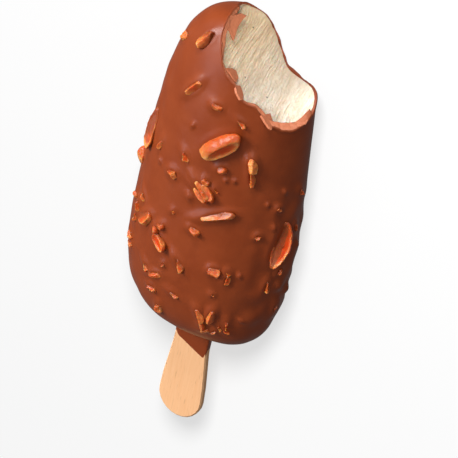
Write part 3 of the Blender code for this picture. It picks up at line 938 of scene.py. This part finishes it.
def white_floor():
    """Sweep of white paper, as far as the camera sees, that glows a little so that shadows
    on it stay soft, but gives the bar no light."""
    mesh = bpy.data.meshes.new("floor")
    reach = 1.5
    corners = [(-reach, -reach, 0), (reach, -reach, 0), (reach, reach, 0), (-reach, reach, 0)]
    mesh.from_pydata(corners, [], [(0, 1, 2, 3)])
    floor = bpy.data.objects.new("floor", mesh)
    bpy.context.collection.objects.link(floor)
    look = bpy.data.materials.new("floor_white")
    look.use_nodes = True
    shader = look.node_tree.nodes["Principled BSDF"]
    shader.inputs["Base Color"].default_value = (0.3, 0.3, 0.3, 1)
    shader.inputs["Roughness"].default_value = 1.0
    shader.inputs["Specular IOR Level"].default_value = 0.0
    shader.inputs["Emission Color"].default_value = (1, 1, 1, 1)
    shader.inputs["Emission Strength"].default_value = 0.66
    mesh.materials.append(look)
    floor.visible_diffuse = False
    floor.visible_glossy = False
    return floor


def light_link(name, state, things):
    """Let a lamp leave things out, or light them alone."""
    lit = bpy.data.collections.new(name + "_lit")
    for thing in things:
        lit.objects.link(thing)
    for entry in lit.collection_objects:
        entry.light_linking.link_state = state
    bpy.data.objects[name].light_linking.receiver_collection = lit


def set_room():
    """Even light from all round, and colours shown as they are."""
    world = bpy.data.worlds.new("room")
    world.use_nodes = True
    world.node_tree.nodes["Background"].inputs[0].default_value = (1, 1, 1, 1)
    world.node_tree.nodes["Background"].inputs[1].default_value = 0.18
    bpy.context.scene.world = world
    bpy.context.scene.view_settings.view_transform = "Standard"


# Finishes


class Finish:
    """A material whose nodes are added one by one and joined to its shader."""

    def __init__(self, name, roughness, **sockets):
        self.material = bpy.data.materials.new(name)
        self.material.use_nodes = True
        self.tree = self.material.node_tree
        self.shader = self.tree.nodes["Principled BSDF"]
        self.shader.inputs["Roughness"].default_value = roughness
        for key, value in sockets.items():
            self.shader.inputs[key.replace("_", " ")].default_value = value
        self.place = self.node("ShaderNodeTexCoord").outputs["Object"]

    def node(self, kind, **settings):
        made = self.tree.nodes.new(kind)
        for key, value in settings.items():
            setattr(made, key, value)
        return made

    def put(self, socket, value):
        if isinstance(value, bpy.types.NodeSocket):
            self.tree.links.new(value, socket)
        else:
            socket.default_value = value

    def noise(self, scale, detail=3.0, stretch=(1, 1, 1)):
        """Noise over the object's own coordinates, scale in cells for each metre."""
        mapping = self.node("ShaderNodeMapping")
        mapping.inputs["Scale"].default_value = stretch
        self.put(mapping.inputs["Vector"], self.place)
        made = self.node("ShaderNodeTexNoise")
        made.inputs["Scale"].default_value = scale
        made.inputs["Detail"].default_value = detail
        self.put(made.inputs["Vector"], mapping.outputs[0])
        return made.outputs["Fac"]

    def attribute(self, name):
        return self.node("ShaderNodeAttribute", attribute_name=name).outputs["Fac"]

    def ramp(self, value, stops):
        made = self.node("ShaderNodeValToRGB")
        self.put(made.inputs[0], value)
        points = made.color_ramp.elements
        while len(points) < len(stops):
            points.new(0.5)
        for point, (place, colour) in zip(points, stops):
            point.position = place
            point.color = (*colour, 1) if len(colour) == 3 else colour
        return made.outputs[0]

    def mix(self, share, first, second, blend="MIX"):
        made = self.node("ShaderNodeMix", data_type="RGBA", blend_type=blend)
        self.put(made.inputs[0], share)
        for socket, value in ((made.inputs[6], first), (made.inputs[7], second)):
            self.put(socket, value if isinstance(value, bpy.types.NodeSocket) else (*value, 1))
        return made.outputs[2]

    def math(self, operation, *values):
        made = self.node("ShaderNodeMath", operation=operation)
        for socket, value in zip(made.inputs, values):
            self.put(socket, value)
        return made.outputs[0]

    def colour(self, value):
        self.put(self.shader.inputs["Base Color"], value)

    def bump(self, height, distance, strength=1.0, after=None):
        made = self.node("ShaderNodeBump")
        made.inputs["Strength"].default_value = strength
        made.inputs["Distance"].default_value = distance
        self.put(made.inputs["Height"], height)
        if after is not None:
            self.put(made.inputs["Normal"], after)
        self.put(self.shader.inputs["Normal"], made.outputs[0])
        return made.outputs[0]


CHOCOLATE = (0.205, 0.031, 0.0045)
CHOCOLATE_PALE = (0.28, 0.052, 0.011)
# Chocolate thinly over a nut: lighter where thin, and partly painted sheen.
CHOCOLATE_THIN_AND_SHEEN = (0.36, 0.080, 0.020)
CHOCOLATE_BROKEN = (0.36, 0.100, 0.040)
CHOCOLATE_BROKEN_PALE = (0.48, 0.155, 0.070)


def milk_chocolate():
    """Satin milk chocolate: nearly even brown, slow soft waves and a faint fine grain, paler
    and matt where it broke, with a painted highlight in that paler colour along the coat's
    outer edge and painted shade where less of it shows on the broken edge at the back."""
    look = Finish("milk_chocolate", 0.36, Specular_IOR_Level=0.36)
    skin = look.mix(look.noise(160, 2), CHOCOLATE, CHOCOLATE_PALE)
    bare = look.mix(look.noise(900, 3), CHOCOLATE_BROKEN, CHOCOLATE_BROKEN_PALE)
    # The broken mark gives the broken chocolate's own paler colour, a painted highlight along the coat's
    # outer edge and, fading towards the back, painted shade.
    broken = look.attribute("broken")
    look.colour(look.mix(broken, skin, bare))
    look.put(look.shader.inputs["Roughness"], look.math("MULTIPLY_ADD", broken, 0.25, 0.36))
    waves = look.bump(look.noise(230, 2), 0.25 * MM, 0.6)
    look.bump(look.noise(2500, 3), 0.015 * MM, 0.5, waves)
    return look.material


def broken_chocolate():
    """Chocolate where it broke: matt and grainy, paler at the front and darker towards the back, which is
    painted shade.
    """
    look = Finish("broken_chocolate", 0.6)
    bare = look.mix(look.noise(900, 3), CHOCOLATE_BROKEN, CHOCOLATE_BROKEN_PALE)
    # Where the broken mark fades, towards the back, plain chocolate stands for painted shade.
    look.colour(look.mix(look.attribute("broken"), CHOCOLATE, bare))
    look.bump(look.noise(1800, 4), 0.08 * MM, 0.7)
    return look.material


def ice_cream():
    """Vanilla ice cream: pale cream, with painted shade darker in the marks of the teeth and painted
    light whiter to the side, with specks of vanilla, letting light in a little."""
    look = Finish("ice_cream", 0.5, Subsurface_Weight=0.25, Subsurface_Scale=1.0 * MM)
    # Painted shade: darker cream in the troughs of the tooth marks.
    ridges = look.mix(look.attribute("trough_shade"), (0.88, 0.70, 0.47), (0.70, 0.49, 0.29))
    whiter = look.mix(look.attribute("trough_shade"), (0.95, 0.86, 0.74), (0.80, 0.66, 0.50))
    # Painted light: whiter cream to the side, darker and yellower at the tip.
    tone = look.mix(look.attribute("side"), ridges, whiter)
    streaks = look.ramp(look.noise(1300, 3, (1, 1, 0.25)), [(0.3, (0.88, 0.86, 0.82)), (0.6, (1, 1, 1))])
    tone = look.mix(1.0, tone, streaks, "MULTIPLY")
    speck = look.node("ShaderNodeTexVoronoi")
    speck.inputs["Scale"].default_value = 420
    look.put(speck.inputs["Vector"], look.place)
    dots = look.ramp(speck.outputs["Distance"], [(0.06, (1, 1, 1)), (0.13, (0, 0, 0))])
    few = look.ramp(look.noise(300, 1), [(0.55, (0, 0, 0)), (0.62, (1, 1, 1))])
    look.colour(look.mix(look.math("MULTIPLY", dots, few), tone, (0.16, 0.12, 0.07)))
    look.bump(look.noise(2200, 4, (1, 1, 0.4)), 0.10 * MM, 0.6)
    return look.material


def roasted_almond():
    """Roasted almond under a thin glaze: orange brown, paler where it was cut, with painted
    highlight along its edges and at its near end, darker in its hollows as painted shade, and
    chocolate where the coat has run up it, lighter where thin and partly painted sheen."""
    look = Finish("roasted_almond", 0.34, Subsurface_Weight=0.5, Subsurface_Scale=1.5 * MM,
                  Subsurface_Radius=(1.0, 0.28, 0.08), Specular_IOR_Level=0.32)
    tone = look.mix(look.noise(600, 3), (0.38, 0.058, 0.008), (0.62, 0.115, 0.020))
    # Painted shade: darker, redder orange in the hollows of the cuts.
    tone = look.mix(look.attribute("hollow_shade"), tone, (0.62, 0.060, 0.003))
    film = look.attribute("film")
    # Where chocolate runs thinly up the nut it is lighter, partly painted sheen.
    tone = look.mix(film, tone, CHOCOLATE_THIN_AND_SHEEN)
    tone = look.mix(look.math("POWER", film, 3.0), tone, CHOCOLATE_PALE)
    # The paleness is the cut faces' own colour plus painted highlight along the edges and at the near end.
    look.colour(look.mix(look.attribute("pale"), tone, (0.87, 0.36, 0.105)))
    look.bump(look.noise(2600, 3), 0.05 * MM, 0.6)
    return look.material


def birch():
    """Birch stick: pale warm wood with fine grain along it and thin dark pores."""
    look = Finish("birch_wood", 0.62)
    grain = look.noise(1700, 4, (1, 0.05, 1))
    tone = look.mix(grain, (0.85, 0.43, 0.19), (0.95, 0.55, 0.29))
    pores = look.ramp(look.noise(3200, 2, (1, 0.09, 1)), [(0.60, (0, 0, 0)), (0.74, (1, 1, 1))])
    look.colour(look.mix(look.math("MULTIPLY", pores, 0.35), tone, (0.45, 0.22, 0.09)))
    look.bump(grain, 0.05 * MM, 0.5)
    return look.material


def main():
    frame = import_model()
    low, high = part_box("stick")
    middle = (low[2] + high[2]) / 2
    set_stage(middle)
    set_room()

    def dress(piece, look, node=None):
        piece.data.materials.append(look)
        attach(piece, "root")
        if node:
            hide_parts(node)

    chocolate, broken = milk_chocolate(), broken_chocolate()
    coat, edge = build_coat(middle)
    dress(coat, chocolate, "chocolate_coat")
    dress(edge, broken)
    # The chocolate sleeve on the stick is painted shadow of the bar.
    dress(build_stick_shadow_sleeve(middle, low, high), chocolate)
    flakes = [build_flake(name, corners, 30 + seed, middle)
              for seed, (name, corners) in enumerate(FLAKES.items())]
    for flake in flakes:
        dress(flake, broken)
    cream = build_cream(middle)
    dress(cream, ice_cream(), "ice_cream_core")
    light_link("bite_lamp", "INCLUDE", [cream, edge, *flakes])
    light_link("flake_lamp", "INCLUDE", [edge, *flakes])
    nut_look = roasted_almond()
    for name, nut in build_nuts(middle).items():
        dress(nut, nut_look, name if name in BIG_NUTS else None)

    stick = frame["nodes"]["stick"]
    stick.data.materials.clear()
    stick.data.materials.append(birch())


main()
